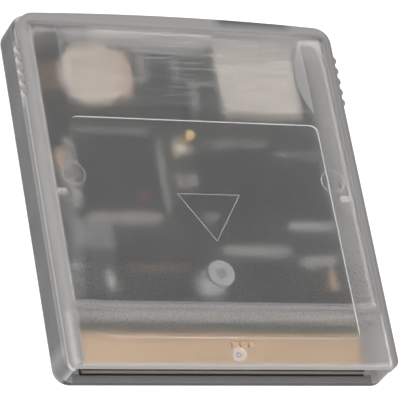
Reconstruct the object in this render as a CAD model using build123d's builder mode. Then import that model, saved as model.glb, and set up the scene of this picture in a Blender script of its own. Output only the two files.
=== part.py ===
"""Handheld game cartridge: a frosted two-part shell with its circuit board inside.

The cartridge lies on its back. +Z comes out of the front face, +Y points to the grip end and the
contact mouth faces -Y. The origin is the middle of the back face. Lengths are in millimetres.
"""

import os

from build123d import *

os.makedirs("parts", exist_ok=True)

# Case: overall size and joint between the shells
case_width = 58.0
case_height = 65.0
case_depth = 8.0
joint_height = 5.4
front_inset = 0.5
grip_crown = 0.8
grip_corner_radius = 3.0
mouth_corner_radius = 2.6
front_mouth_corner_radius = 1.4
back_edge_radius = 0.4
front_edge_radius = 0.9

# Case: walls and the lap joint
rear_wall = 1.3
rear_side_wall = 1.5
rear_grip_wall = 1.5
front_wall = 1.5
front_side_wall = 1.0
front_grip_wall = 1.9
lip_wall = 1.3
lap_clearance = 0.1
bead_radius = 0.25
bead_length = 17.8
bead_setback = 19.3
inner_corner_radius = 1.6

# Front shell: face details
label_side_gap = 6.3
label_mouth_gap = 4.9
label_grip_gap = 20.2
label_depth = 0.35
label_corner_radius = 1.3
scoop_width = 14.4
scoop_depth = 0.45
scoop_end_run = 1.9
scoop_grip_gap = 10.9
ridge_count = 5
ridge_pitch = 2.05
ridge_radius = 0.85
gate_mark_mouth_gap = 2.0
gate_mark_diameter = 2.4
gate_mark_depth = 0.25

# Front shell: inside
rib_setback = 10.55
rib_wall = 1.1
rib_end_clearance = 0.2
rib_board_gap = 0.3
screw_rib_gap = 6.25
boss_diameter = 4.8
pilot_diameter = 1.7
pilot_depth = 3.9

# Rear shell: inside
board_gap = 0.2
rail_width = 1.0
pin_seat_diameter = 3.4
tab_setback = 19.75
tab_width = 1.0
tab_reach = 1.7
screw_well_diameter = 4.2
screw_well_depth = 1.3
screw_passage_diameter = 2.2
screw_well_floor = 1.0
screw_boss_diameter = 5.0
boss_clearance = 0.1

# Locating pin, riveted through the board
pin_logic_gap = 6.0
pin_diameter = 1.8
pin_shell_gap = 0.3
pin_flange_diameter = 2.8
pin_flange_height = 0.3
pin_tip_bevel = 0.25

# Screw
screw_head_diameter = 3.8
screw_head_height = 1.0
screw_thread_clearance = 0.05
screw_tip_gap = 0.3
screw_point = 0.8
screw_slot_width = 0.6
screw_slot_length = 2.4
screw_slot_depth = 0.5

# Circuit board and its plating
board_thickness = 0.8
board_side_clearance = 1.3
board_end_clearance = 0.5
board_setback = 1.4
board_bevel = 0.25
board_hole_clearance = 0.3
pin_clearance = 0.1
tab_clearance = 0.15
plating = 0.06
contact_count = 32
contact_pitch = 1.5
contact_gap = 0.2
contact_length = 6.3
contact_edge_margin = 0.7
end_contact_margin = 0.2
pin_pad_width = 3.4

# Coin cell and its contacts
cell_diameter = 12.5
cell_height = 2.0
cell_edge_bevel = 0.3
cell_cap_diameter = 10.4
cell_cap_height = 0.3
cell_end_gap = 0.55
cell_plate = 0.2
cell_plate_width = 5.0
cell_plate_tail_share = 0.8
cell_rib_length = 1.2
cell_rib_height = 0.2
cell_rib_spacing = 4.0
retainer_sheet = 0.3
retainer_clearance = 0.05
retainer_overlap = 1.0
retainer_foot = 1.0
retainer_angle = 80.0

# Memory-card socket and slot
socket_width = 14.4
socket_length = 14.3
socket_height = 1.9
socket_sheet = 0.2
socket_floor = 0.3
socket_rail = 0.9
socket_stop = 2.2
socket_fit = 0.05
socket_tab_margin = 0.4
socket_mouth_gap = 0.4
shield_bead_drop = 2.65
shield_bead_width = 0.5
shield_bead_height = 0.1
card_contact_count = 8
card_contact_pitch = 1.1
card_contact_width = 0.5
card_contact_length = 6.0
card_contact_rise = 0.7
card_contact_sheet = 0.15
card_slot_width = 12.2
card_slot_height = 1.7

# Chip packages: body across the leads, body along the leads, height, lead count on a side, pitch
lead_sheet = 0.15
lead_standoff = 0.1
logic_body = 14.0
logic_height = 1.4
logic_lead_count = 16
logic_pitch = 0.8
logic_reach = 1.0
memory_body = 18.4
memory_width = 12.0
memory_height = 1.0
memory_lead_count = 24
memory_pitch = 0.5
memory_reach = 0.8
work_body = 11.8
work_width = 8.0
work_height = 1.0
work_lead_count = 16
work_pitch = 0.5
work_reach = 0.8
bus_body = 6.1
bus_width = 12.5
bus_height = 0.9
bus_lead_count = 24
bus_pitch = 0.5
bus_reach = 1.0
line_body = 4.4
line_width = 6.5
line_height = 0.9
line_lead_count = 10
line_pitch = 0.65
line_reach = 1.0
clock_body = 3.9
clock_width = 4.9
clock_height = 1.5
clock_lead_count = 4
clock_pitch = 1.27
clock_reach = 1.05
regulator_body = 3.5
regulator_width = 6.5
regulator_height = 1.6
regulator_pitch = 2.3
regulator_lead_width = 0.7
regulator_tab_width = 3.0
regulator_reach = 1.75
chip_draft = 8.0
lead_share = 0.45

# Small parts
oscillator_length = 7.0
oscillator_width = 5.0
oscillator_height = 1.4
oscillator_lid_step = 0.4
oscillator_lid_margin = 0.5
crystal_diameter = 2.0
crystal_length = 6.0
crystal_collar = 0.5
crystal_wire = 0.25
crystal_wire_spacing = 0.7
crystal_wire_reach = 1.6
tantalum_length = 3.2
tantalum_width = 1.6
tantalum_height = 1.6
tantalum_terminal = 0.3
tantalum_step = 0.1
ceramic_length = 2.0
ceramic_width = 1.25
ceramic_height = 0.9
ceramic_terminal = 0.45
ceramic_step = 0.06
ceramic_pitch = 2.2
ceramic_pair_drop = 1.25
ceramic_single_drop = 7.85
ceramic_memory_gap = 0.2
resistor_length = 1.6
resistor_width = 0.8
resistor_height = 0.45
resistor_terminal = 0.3
resistor_step = 0.04
resistor_pitch = 2.2
resistor_count = 4
resistor_row_x = 8.8

# Layout of the board: each gap is a share of the width or length that the parts leave free
logic_edge_share = 0.265
lane_share = 0.618
memory_work_share = 0.066
pin_lane_share = 0.58
ceramic_pair_share = 0.398
cell_edge_share = 0.22
cell_clock_share = 0.23
clock_crystal_share = 0.08
crystal_socket_share = 0.255
cell_logic_share = 0.377
logic_row_share = 0.115
oscillator_regulator_share = 0.23
socket_memory_share = 0.3
socket_work_share = 0.49
work_line_share = 0.02
line_tantalum_share = 0.17
tantalum_left_gap = 0.5
tantalum_right_gap = 2.5
tantalum_rise = 2.0
oscillator_edge_gap = 1.7
regulator_edge_gap = 0.7
bus_oscillator_gap = 1.1
clock_crystal_step = 0.2
resistor_rib_gap = 2.6

# A cut runs this far past the face that it opens
past = 1.0

# Heights and edges of the case
half_width = case_width / 2
grip_y = case_height / 2
mouth_y = -case_height / 2
front_inside = case_depth - front_wall
front_half = half_width - front_inset
front_grip_y = grip_y - front_inset
skirt_half = front_half - front_side_wall
skirt_grip_y = front_grip_y - front_grip_wall
lip_half = skirt_half - lap_clearance
lip_grip_y = skirt_grip_y - lap_clearance
lip_top = front_inside - lap_clearance
space_half = lip_half - lip_wall
space_grip_y = lip_grip_y - lip_wall
bay_half = half_width - rear_side_wall
rib_y = mouth_y + rib_setback
rib_grip_y = rib_y + rib_wall / 2
bay_grip_y = rib_grip_y + rib_end_clearance
tab_y = bay_grip_y + tab_setback
bead_y = bay_grip_y + bead_setback
bead_height = (joint_height + lip_top) / 2

# Places of the face details
label_width = 2 * (front_half - label_side_gap)
label_mouth_y = mouth_y + label_mouth_gap
label_height = front_grip_y - label_grip_gap - label_mouth_y
label_y = label_mouth_y + label_height / 2
scoop_length = label_width
scoop_y = front_grip_y - scoop_grip_gap
scoop_near_y = scoop_y - scoop_width / 2
scoop_far_y = scoop_y + scoop_width / 2
gate_mark_y = mouth_y + gate_mark_mouth_gap

# Circuit board and its contacts
board_bottom = rear_wall + board_gap
board_top = board_bottom + board_thickness
board_half = space_half - board_side_clearance
board_grip_y = space_grip_y - grip_crown - board_end_clearance
board_mouth_y = mouth_y + board_setback
notch_depth = board_half - (space_half - tab_reach) + tab_clearance
rib_bottom = board_top + rib_board_gap
pin_flange_bottom = board_top + plating
pin_top = front_inside - pin_shell_gap
contact_y = board_mouth_y + contact_edge_margin + contact_length / 2
inner_contacts_width = (contact_count - 2) * contact_pitch - contact_gap
end_contact_width = board_half - end_contact_margin - inner_contacts_width / 2 - contact_gap

# Spans of the packages over their leads
logic_span = logic_body + 2 * logic_reach
memory_span = memory_body + 2 * memory_reach
work_span = work_body + 2 * work_reach
bus_span = bus_body + 2 * bus_reach
line_span = line_body + 2 * line_reach
clock_span = clock_body + 2 * clock_reach
regulator_span = regulator_body + 2 * regulator_reach

# Row of the main chips, from the left edge of the board to the right one
chip_row_free = 2 * board_half - logic_span - memory_width - work_width
logic_x = -board_half + logic_edge_share * chip_row_free + logic_span / 2
lane_left = logic_x + logic_span / 2
lane_right = lane_left + lane_share * chip_row_free
memory_x = lane_right + memory_width / 2
work_x = lane_right + memory_width + memory_work_share * chip_row_free + work_width / 2
lane_width = lane_right - lane_left
ceramic_pair_width = ceramic_pitch + ceramic_width
pin_x = lane_left + pin_pad_width / 2 + pin_lane_share * (lane_width - pin_pad_width)
ceramic_pair_free = lane_width - ceramic_pair_width
ceramic_pair_x = lane_left + ceramic_pair_width / 2 + ceramic_pair_share * ceramic_pair_free
ceramic_single_x = lane_right - ceramic_memory_gap - ceramic_length / 2

# Row of the cell, the clock and the card socket
cell_radius = cell_diameter / 2
top_row_free = 2 * board_half - cell_diameter - clock_span - crystal_diameter - socket_width
cell_edge_gap = cell_edge_share * top_row_free
cell_x = -board_half + cell_edge_gap + cell_radius
clock_x = cell_x + cell_radius + cell_clock_share * top_row_free + clock_span / 2
crystal_x = clock_x + clock_span / 2 + clock_crystal_share * top_row_free + crystal_diameter / 2
socket_x = crystal_x + crystal_diameter / 2 + crystal_socket_share * top_row_free + socket_width / 2

# Left column, from the cell down to the rib
cell_y = space_grip_y - cell_end_gap - cell_radius
left_parts_length = cell_diameter + logic_span + oscillator_width + regulator_width
left_free = space_grip_y - cell_end_gap - rib_grip_y - left_parts_length
logic_y = cell_y - cell_radius - cell_logic_share * left_free - logic_span / 2
logic_row_y = logic_y - logic_span / 2 - logic_row_share * left_free
oscillator_x = -board_half + oscillator_edge_gap + oscillator_length / 2
oscillator_y = logic_row_y - oscillator_width / 2
bus_x = oscillator_x + oscillator_length / 2 + bus_oscillator_gap + bus_width / 2
bus_y = logic_row_y - bus_span / 2
regulator_x = -board_half + regulator_edge_gap + regulator_span / 2
regulator_row_y = oscillator_y - oscillator_width / 2 - oscillator_regulator_share * left_free
regulator_y = regulator_row_y - regulator_width / 2
tantalum_left_x = -board_half + tantalum_left_gap + tantalum_width / 2
tantalum_left_y = logic_y + tantalum_rise
pin_y = logic_y + pin_logic_gap
clock_y = cell_y + clock_width / 2
crystal_y = cell_y - clock_crystal_step - crystal_length / 2
resistor_y = rib_grip_y + resistor_rib_gap

# Right columns, from the card socket down to the rib
socket_grip_y = grip_y - grip_crown - rear_grip_wall - socket_mouth_gap
socket_y = socket_grip_y - socket_length / 2
socket_foot_y = socket_grip_y - socket_length
memory_free = socket_foot_y - rib_grip_y - memory_span
memory_y = socket_foot_y - socket_memory_share * memory_free - memory_span / 2
right_free = socket_foot_y - rib_grip_y - work_span - line_span - tantalum_length
work_y = socket_foot_y - socket_work_share * right_free - work_span / 2
line_y = work_y - work_span / 2 - work_line_share * right_free - line_span / 2
tantalum_right_x = board_half - tantalum_right_gap - tantalum_width / 2
tantalum_right_y = line_y - line_span / 2 - line_tantalum_share * right_free - tantalum_length / 2

# Cell contacts, card socket and screw
cell_bottom = board_top + cell_plate + cell_rib_height
cell_top = cell_bottom + cell_height
cell_plate_tail = cell_plate_tail_share * cell_edge_gap
retainer_inside = cell_radius + retainer_clearance
retainer_outside = retainer_inside + retainer_sheet
retainer_top = cell_top + retainer_clearance + retainer_sheet
socket_inside = socket_height - socket_sheet
socket_base_width = socket_width - 2 * (socket_sheet + socket_fit)
card_slot_bottom = board_top + (socket_height - card_slot_height) / 2
board_tongue_width = socket_width + 2 * socket_tab_margin
lip_gap_width = board_tongue_width + 2 * board_end_clearance
screw_y = rib_y + screw_rib_gap
screw_boss_top = screw_well_depth + screw_well_floor
boss_bottom = screw_boss_top + boss_clearance
screw_radius = pilot_diameter / 2 - screw_thread_clearance
screw_tip = boss_bottom + pilot_depth - screw_tip_gap


def case_outline(half, top, bottom, top_radius, bottom_radius):
    """Outline with straight sides, an arched grip end and rounded corners."""
    shoulder = top - grip_crown
    with BuildSketch() as outline:
        with BuildLine():
            Polyline((half, shoulder), (half, bottom), (-half, bottom), (-half, shoulder))
            ThreePointArc((-half, shoulder), (0, top), (half, shoulder))
        make_face()
        fillet(outline.vertices().group_by(Axis.Y)[-1], top_radius)
        if bottom_radius:
            fillet(outline.vertices().group_by(Axis.Y)[0], bottom_radius)
    return outline.sketch


def gull_wing(width, reach, exit_height, sheet):
    """One lead: a slanted leg that leaves the body at x = 0, and a foot on z = 0."""
    knee = reach / 2
    with BuildPart() as lead:
        with BuildSketch(Plane.XZ):
            with BuildLine():
                Polyline(
                    (0, exit_height + sheet / 2),
                    (knee, sheet),
                    (reach, sheet),
                    (reach, 0),
                    (knee - sheet / 2, 0),
                    (0, exit_height - sheet / 2),
                    close=True,
                )
            make_face()
        extrude(amount=width / 2, both=True)
    return lead.part


def chip_body(x, y, size_x, size_y, height):
    """Moulded body: a straight land where the leads come out, and drafted halves above and below."""
    land_bottom = board_top + lead_standoff + (height - lead_sheet) / 2
    land_top = land_bottom + lead_sheet
    half_height = (height - lead_sheet) / 2
    with BuildPart() as body:
        with BuildSketch(Plane.XY.offset(land_bottom)):
            with Locations((x, y)):
                Rectangle(size_x, size_y)
        extrude(amount=lead_sheet)
        with BuildSketch(Plane.XY.offset(land_top)):
            with Locations((x, y)):
                Rectangle(size_x, size_y)
        extrude(amount=half_height, taper=chip_draft)
        with BuildSketch(Plane.XY.offset(land_bottom)):
            with Locations((x, y)):
                Rectangle(size_x, size_y)
        extrude(amount=half_height, dir=(0, 0, -1), taper=chip_draft)
    return body


def chip_leads(x, y, half_body, sides, first_angle, count, pitch, reach, height):
    """Rows of gull-wing leads round a chip, standing on the board."""
    lead = gull_wing(lead_share * pitch, reach, lead_standoff + height / 2, lead_sheet)
    with BuildPart() as leads:
        with Locations((x, y, board_top)):
            with PolarLocations(half_body, sides, first_angle):
                with GridLocations(0, pitch, 1, count):
                    add(lead, clean=False)
    return leads


def end_capped_block(length, width, height, terminal, step):
    """Chip resistor or capacitor along X, on z = 0: a block between two slightly larger end caps."""
    with BuildPart() as block:
        with BuildSketch():
            with GridLocations(length - terminal, 0, 2, 1):
                Rectangle(terminal, width)
        extrude(amount=height)
        with BuildSketch(Plane.XY.offset(step)):
            Rectangle(length - 2 * terminal, width - 2 * step)
        extrude(amount=height - 2 * step)
    return block.part


# Outlines of the case, from the outer faces to the space for the board
rear_outline = case_outline(half_width, grip_y, mouth_y, grip_corner_radius, mouth_corner_radius)
front_outline = case_outline(
    front_half, front_grip_y, mouth_y, grip_corner_radius, front_mouth_corner_radius
)
skirt_outline = case_outline(
    skirt_half, skirt_grip_y, mouth_y - past, inner_corner_radius + lap_clearance, 0
)
lip_outline = case_outline(lip_half, lip_grip_y, bay_grip_y, inner_corner_radius, 0)
space_outline = case_outline(space_half, space_grip_y, bay_grip_y, inner_corner_radius, 0)
groove_outline = case_outline(
    space_half, grip_y - rear_grip_wall, bay_grip_y, inner_corner_radius, 0
)

# Rear shell: a tray with a raised lip, open at the contact mouth
with BuildPart() as rear_shell:
    with BuildSketch():
        add(rear_outline)
    extrude(amount=joint_height)
    fillet(rear_shell.faces().sort_by(Axis.Z)[0].edges(), back_edge_radius)
    with BuildSketch(Plane.XY.offset(joint_height)):
        add(lip_outline)
    extrude(amount=lip_top - joint_height)
    with BuildSketch(Plane.XY.offset(rear_wall)):
        add(space_outline)
    extrude(amount=case_depth, mode=Mode.SUBTRACT)

    # Contact bay, wider than the space behind the lip
    with BuildSketch(Plane.XY.offset(rear_wall)):
        with Locations((0, mouth_y - past)):
            Rectangle(2 * bay_half, bay_grip_y - mouth_y + past, align=(Align.CENTER, Align.MIN))
    extrude(amount=case_depth, mode=Mode.SUBTRACT)

    # Groove that keeps the wall even between the grip end and the lip
    with BuildSketch(Plane.XY.offset(rear_wall)):
        add(groove_outline)
        add(lip_outline, mode=Mode.SUBTRACT)
    extrude(amount=case_depth, mode=Mode.SUBTRACT)

    # Way for a memory card: a gap in the lip and a slot in the grip wall
    with BuildSketch(Plane.XY.offset(rear_wall)):
        with Locations((socket_x, space_grip_y)):
            Rectangle(lip_gap_width, 2 * lip_wall + 2 * grip_crown)
    extrude(amount=case_depth, mode=Mode.SUBTRACT)
    with BuildSketch(Plane.XY.offset(card_slot_bottom)):
        with Locations((socket_x, grip_y)):
            Rectangle(card_slot_width, 2 * (rear_grip_wall + grip_crown))
    extrude(amount=card_slot_height, mode=Mode.SUBTRACT)

    # Rails under the board, and tabs that hold it sideways
    with BuildSketch(Plane.XY.offset(rear_wall)):
        with Locations((0, (bay_grip_y + board_grip_y) / 2)):
            with GridLocations(2 * board_half - rail_width, 0, 2, 1):
                Rectangle(rail_width, board_grip_y - bay_grip_y)
    extrude(amount=board_gap)
    with BuildSketch(Plane.XY.offset(rear_wall)):
        with Locations((0, tab_y)):
            with GridLocations(2 * space_half - tab_reach, 0, 2, 1):
                Rectangle(tab_reach, tab_width)
    extrude(amount=lip_top - rear_wall)

    # Snap beads on the outside of the lip
    with Locations((0, bead_y, bead_height)):
        with GridLocations(2 * lip_half, 0, 2, 1):
            Cylinder(bead_radius, bead_length, rotation=(90, 0, 0))

    # Seat under the locating pin, and the well for the screw
    with BuildSketch(Plane.XY.offset(rear_wall)):
        with Locations((pin_x, pin_y)):
            Circle(pin_seat_diameter / 2)
    extrude(amount=board_gap)
    with BuildSketch(Plane.XY.offset(rear_wall)):
        with Locations((0, screw_y)):
            Circle(screw_boss_diameter / 2)
    extrude(amount=screw_boss_top - rear_wall)
    with BuildSketch():
        with Locations((0, screw_y)):
            Circle(screw_well_diameter / 2)
    extrude(amount=screw_well_depth, mode=Mode.SUBTRACT)
    with BuildSketch():
        with Locations((0, screw_y)):
            Circle(screw_passage_diameter / 2)
    extrude(amount=screw_boss_top, mode=Mode.SUBTRACT)

rear_shell.part.label = "rear_shell"
export_step(rear_shell.part, "parts/rear_shell.step")

# Grip scoop: a shallow trough across the face, with slanted ends
with BuildPart() as scoop:
    with BuildSketch(Plane.YZ):
        with BuildLine():
            ThreePointArc(
                (scoop_near_y, case_depth),
                (scoop_y, case_depth - scoop_depth),
                (scoop_far_y, case_depth),
            )
            Polyline(
                (scoop_far_y, case_depth),
                (scoop_far_y, case_depth + past),
                (scoop_near_y, case_depth + past),
                (scoop_near_y, case_depth),
            )
        make_face()
    extrude(amount=scoop_length, both=True)
    for side in (-1, 1):
        slant = Plane(
            origin=(side * scoop_length / 2, 0, case_depth),
            x_dir=(0, 1, 0),
            z_dir=(side * scoop_depth, 0, -scoop_end_run),
        )
        split(bisect_by=slant, keep=Keep.BOTTOM)

# Front shell: a shallow cover with a short skirt that drops over the lip
with BuildPart() as front_shell:
    with BuildSketch(Plane.XY.offset(joint_height)):
        add(front_outline)
    extrude(amount=case_depth - joint_height)
    fillet(front_shell.faces().sort_by(Axis.Z)[-1].edges(), front_edge_radius)
    add(scoop.part, mode=Mode.SUBTRACT)
    with BuildSketch(Plane.XY.offset(case_depth)):
        with Locations((0, label_y)):
            RectangleRounded(label_width, label_height, label_corner_radius)
    extrude(amount=-label_depth, mode=Mode.SUBTRACT)

    # Grip ridges, as far out as the rear shell
    with BuildSketch(Plane.XY.offset(joint_height)):
        with Locations((0, scoop_y)):
            with GridLocations(2 * (half_width - ridge_radius), ridge_pitch, 2, ridge_count):
                Circle(ridge_radius)
    extrude(amount=case_depth - front_edge_radius - joint_height)

    # Inside of the skirt, open at the contact mouth, and the grooves for the snap beads
    with BuildSketch(Plane.XY.offset(joint_height)):
        add(skirt_outline)
    extrude(amount=front_inside - joint_height, mode=Mode.SUBTRACT)
    with Locations((0, bead_y, bead_height)):
        with GridLocations(2 * lip_half, 0, 2, 1):
            Cylinder(
                bead_radius + lap_clearance,
                bead_length + 2 * lap_clearance,
                rotation=(90, 0, 0),
                mode=Mode.SUBTRACT,
            )

    # Cross rib that shuts the contact bay off, and the boss for the screw
    with BuildSketch(Plane.XY.offset(rib_bottom)):
        with Locations((0, rib_y)):
            Rectangle(2 * (bay_half - rib_end_clearance), rib_wall)
    extrude(amount=front_inside - rib_bottom)
    with BuildSketch(Plane.XY.offset(boss_bottom)):
        with Locations((0, screw_y)):
            Circle(boss_diameter / 2)
    extrude(amount=front_inside - boss_bottom)
    with BuildSketch(Plane.XY.offset(boss_bottom)):
        with Locations((0, screw_y)):
            Circle(pilot_diameter / 2)
    extrude(amount=pilot_depth, mode=Mode.SUBTRACT)

    # Dimple round the moulding gate
    with BuildSketch(Plane.XY.offset(case_depth)):
        with Locations((0, gate_mark_y)):
            Circle(gate_mark_diameter / 2)
    extrude(amount=-gate_mark_depth, mode=Mode.SUBTRACT)

front_shell.part.label = "front_shell"
export_step(front_shell.part, "parts/front_shell.step")

# Screw, put in from the back, with a cross recess
with BuildPart() as housing_screw:
    with BuildSketch(Plane(origin=(0, screw_y, 0), x_dir=(1, 0, 0), z_dir=(0, -1, 0))):
        with BuildLine():
            Polyline(
                (0, screw_well_depth - screw_head_height),
                (screw_head_diameter / 2, screw_well_depth - screw_head_height),
                (screw_head_diameter / 2, screw_well_depth),
                (screw_radius, screw_well_depth),
                (screw_radius, screw_tip - screw_point),
                (0, screw_tip),
                close=True,
            )
        make_face()
    revolve(axis=Axis((0, screw_y, 0), (0, 0, 1)))
    with BuildSketch(Plane.XY.offset(screw_well_depth - screw_head_height)):
        with Locations((0, screw_y)):
            Rectangle(screw_slot_length, screw_slot_width)
            Rectangle(screw_slot_width, screw_slot_length)
    extrude(amount=screw_slot_depth, mode=Mode.SUBTRACT)

housing_screw.part.label = "housing_screw"
export_step(housing_screw.part, "parts/housing_screw.step")

# Circuit board, with a tongue under the card socket and a bevelled contact edge
with BuildPart() as circuit_board:
    with BuildSketch(Plane.XY.offset(board_bottom)):
        with Locations((0, board_mouth_y)):
            Rectangle(2 * board_half, board_grip_y - board_mouth_y, align=(Align.CENTER, Align.MIN))
        with Locations((socket_x, socket_y)):
            Rectangle(board_tongue_width, socket_length)
        with Locations((0, tab_y)):
            with GridLocations(2 * board_half, 0, 2, 1):
                Rectangle(2 * notch_depth, tab_width + 2 * tab_clearance, mode=Mode.SUBTRACT)
        with Locations((pin_x, pin_y)):
            Circle(pin_diameter / 2 + pin_clearance, mode=Mode.SUBTRACT)
        with Locations((0, screw_y)):
            Circle(screw_boss_diameter / 2 + board_hole_clearance, mode=Mode.SUBTRACT)
    extrude(amount=board_thickness)
    contact_end = circuit_board.faces().sort_by(Axis.Y)[0]
    chamfer(contact_end.edges().filter_by(Axis.X), board_bevel)

circuit_board.part.label = "circuit_board"
export_step(circuit_board.part, "parts/circuit_board.step")

# Plated contacts in a row at the mouth; the two end ones are wider
with BuildPart() as edge_contacts:
    with BuildSketch(Plane.XY.offset(board_top)):
        with Locations((0, contact_y)):
            with GridLocations(contact_pitch, 0, contact_count - 2, 1):
                Rectangle(contact_pitch - contact_gap, contact_length)
            with GridLocations(inner_contacts_width + contact_gap + end_contact_width, 0, 2, 1):
                Rectangle(end_contact_width, contact_length)
    extrude(amount=plating)

edge_contacts.part.label = "edge_contacts"
export_step(edge_contacts.part, "parts/edge_contacts.step")

# Plated pad round the hole for the locating pin
with BuildPart() as pin_pad:
    with BuildSketch(Plane.XY.offset(board_top)):
        with Locations((pin_x, pin_y)):
            Rectangle(pin_pad_width, pin_pad_width)
            Circle(pin_diameter / 2 + pin_clearance, mode=Mode.SUBTRACT)
    extrude(amount=plating)

pin_pad.part.label = "pin_pad"
export_step(pin_pad.part, "parts/pin_pad.step")

# Locating pin: turned, with a flange that sits on the pad
with BuildPart() as locating_pin:
    with BuildSketch(Plane(origin=(pin_x, pin_y, 0), x_dir=(1, 0, 0), z_dir=(0, -1, 0))):
        with BuildLine():
            Polyline(
                (0, board_bottom),
                (pin_diameter / 2, board_bottom),
                (pin_diameter / 2, pin_flange_bottom),
                (pin_flange_diameter / 2, pin_flange_bottom),
                (pin_flange_diameter / 2, pin_flange_bottom + pin_flange_height),
                (pin_diameter / 2, pin_flange_bottom + pin_flange_height),
                (pin_diameter / 2, pin_top - pin_tip_bevel),
                (pin_diameter / 2 - pin_tip_bevel, pin_top),
                (0, pin_top),
                close=True,
            )
        make_face()
    revolve(axis=Axis((pin_x, pin_y, 0), (0, 0, 1)))

locating_pin.part.label = "locating_pin"
export_step(locating_pin.part, "parts/locating_pin.step")

# Coin cell, cap side down
with BuildPart() as coin_cell:
    with BuildSketch(Plane.XY.offset(cell_bottom)):
        with Locations((cell_x, cell_y)):
            Circle(cell_cap_diameter / 2)
    extrude(amount=cell_cap_height)
    with BuildSketch(Plane.XY.offset(cell_bottom + cell_cap_height)):
        with Locations((cell_x, cell_y)):
            Circle(cell_radius)
    extrude(amount=cell_height - cell_cap_height)
    chamfer(coin_cell.faces().sort_by(Axis.Z)[-1].edges(), cell_edge_bevel)

coin_cell.part.label = "coin_cell"
export_step(coin_cell.part, "parts/coin_cell.step")

# Contact plate under the cell, with two pressed ribs and a tail to its solder pad
with BuildPart() as cell_base_contact:
    with BuildSketch(Plane.XY.offset(board_top)):
        with Locations((cell_x - cell_radius - cell_plate_tail, cell_y)):
            Rectangle(
                cell_plate_tail + cell_radius + cell_rib_spacing,
                cell_plate_width,
                align=(Align.MIN, Align.CENTER),
            )
    extrude(amount=cell_plate)
    with BuildSketch(Plane.XY.offset(board_top + cell_plate)):
        with Locations((cell_x, cell_y)):
            with GridLocations(cell_rib_spacing, 0, 2, 1):
                Rectangle(cell_rib_length, cell_plate_width)
    extrude(amount=cell_rib_height)

cell_base_contact.part.label = "cell_base_contact"
export_step(cell_base_contact.part, "parts/cell_base_contact.step")

# Retainer: a folded clip that stands on the board and reaches over the cell's edge
retainer_start = Vector(1, 0, 0).rotate(Axis.Z, -retainer_angle / 2)
with BuildPart() as cell_retainer:
    with BuildSketch(
        Plane(
            origin=(cell_x, cell_y, 0),
            x_dir=retainer_start,
            z_dir=retainer_start.rotate(Axis.Z, -90),
        )
    ):
        with BuildLine():
            Polyline(
                (retainer_inside, board_top),
                (retainer_outside + retainer_foot, board_top),
                (retainer_outside + retainer_foot, board_top + retainer_sheet),
                (retainer_outside, board_top + retainer_sheet),
                (retainer_outside, retainer_top),
                (cell_radius - retainer_overlap, retainer_top),
                (cell_radius - retainer_overlap, retainer_top - retainer_sheet),
                (retainer_inside, retainer_top - retainer_sheet),
                close=True,
            )
        make_face()
    revolve(axis=Axis((cell_x, cell_y, 0), (0, 0, 1)), revolution_arc=retainer_angle)

cell_retainer.part.label = "cell_retainer"
export_step(cell_retainer.part, "parts/cell_retainer.step")

# Card socket: moulded base with two rails and a stop
with BuildPart() as card_socket_base:
    with BuildSketch(Plane.XY.offset(board_top)):
        with Locations((socket_x, socket_y)):
            Rectangle(socket_base_width, socket_length)
    extrude(amount=socket_floor)
    with BuildSketch(Plane.XY.offset(board_top + socket_floor)):
        with Locations((socket_x, socket_y)):
            Rectangle(socket_base_width, socket_length)
        with Locations((socket_x, socket_y + socket_stop)):
            Rectangle(socket_base_width - 2 * socket_rail, socket_length, mode=Mode.SUBTRACT)
    extrude(amount=socket_inside - socket_fit - socket_floor)

card_socket_base.part.label = "card_socket_base"
export_step(card_socket_base.part, "parts/card_socket_base.step")

# Card socket: folded sheet cover with a stiffening bead across its top
with BuildPart() as card_socket_shield:
    with BuildSketch(Plane.XY.offset(board_top)):
        with Locations((socket_x, socket_y)):
            Rectangle(socket_width, socket_length)
    extrude(amount=socket_height)
    with BuildSketch(Plane.XY.offset(board_top)):
        with Locations((socket_x, socket_y)):
            Rectangle(socket_width - 2 * socket_sheet, socket_length + past)
    extrude(amount=socket_inside, mode=Mode.SUBTRACT)
    with BuildSketch(Plane.XY.offset(board_top + socket_height)):
        with Locations((socket_x, socket_y - shield_bead_drop)):
            Rectangle(socket_base_width - 2 * socket_rail, shield_bead_width)
    extrude(amount=shield_bead_height)

card_socket_shield.part.label = "card_socket_shield"
export_step(card_socket_shield.part, "parts/card_socket_shield.step")

# Card socket: springs that rise from the stop towards the card
with BuildPart() as card_spring:
    with BuildSketch(Plane.YZ):
        with BuildLine():
            Polyline(
                (0, 0),
                (card_contact_length / 3, 0),
                (card_contact_length, card_contact_rise),
                (card_contact_length, card_contact_rise + card_contact_sheet),
                (card_contact_length / 3, card_contact_sheet),
                (0, card_contact_sheet),
                close=True,
            )
        make_face()
    extrude(amount=card_contact_width / 2, both=True)

with BuildPart() as card_socket_contacts:
    with Locations((socket_x, socket_y - socket_length / 2 + socket_stop, board_top + socket_floor)):
        with GridLocations(card_contact_pitch, 0, card_contact_count, 1):
            add(card_spring.part, clean=False)

card_socket_contacts.part.label = "card_socket_contacts"
export_step(card_socket_contacts.part, "parts/card_socket_contacts.step")

# Chips, each with its rows of leads
logic_chip = chip_body(logic_x, logic_y, logic_body, logic_body, logic_height)
logic_chip.part.label = "logic_chip"
export_step(logic_chip.part, "parts/logic_chip.step")

logic_chip_leads = chip_leads(
    logic_x, logic_y, logic_body / 2, 4, 0, logic_lead_count, logic_pitch, logic_reach, logic_height
)
logic_chip_leads.part.label = "logic_chip_leads"
export_step(logic_chip_leads.part, "parts/logic_chip_leads.step")

memory_chip = chip_body(memory_x, memory_y, memory_width, memory_body, memory_height)
memory_chip.part.label = "memory_chip"
export_step(memory_chip.part, "parts/memory_chip.step")

memory_chip_leads = chip_leads(
    memory_x, memory_y, memory_body / 2, 2, 90, memory_lead_count, memory_pitch, memory_reach, memory_height
)
memory_chip_leads.part.label = "memory_chip_leads"
export_step(memory_chip_leads.part, "parts/memory_chip_leads.step")

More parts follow.
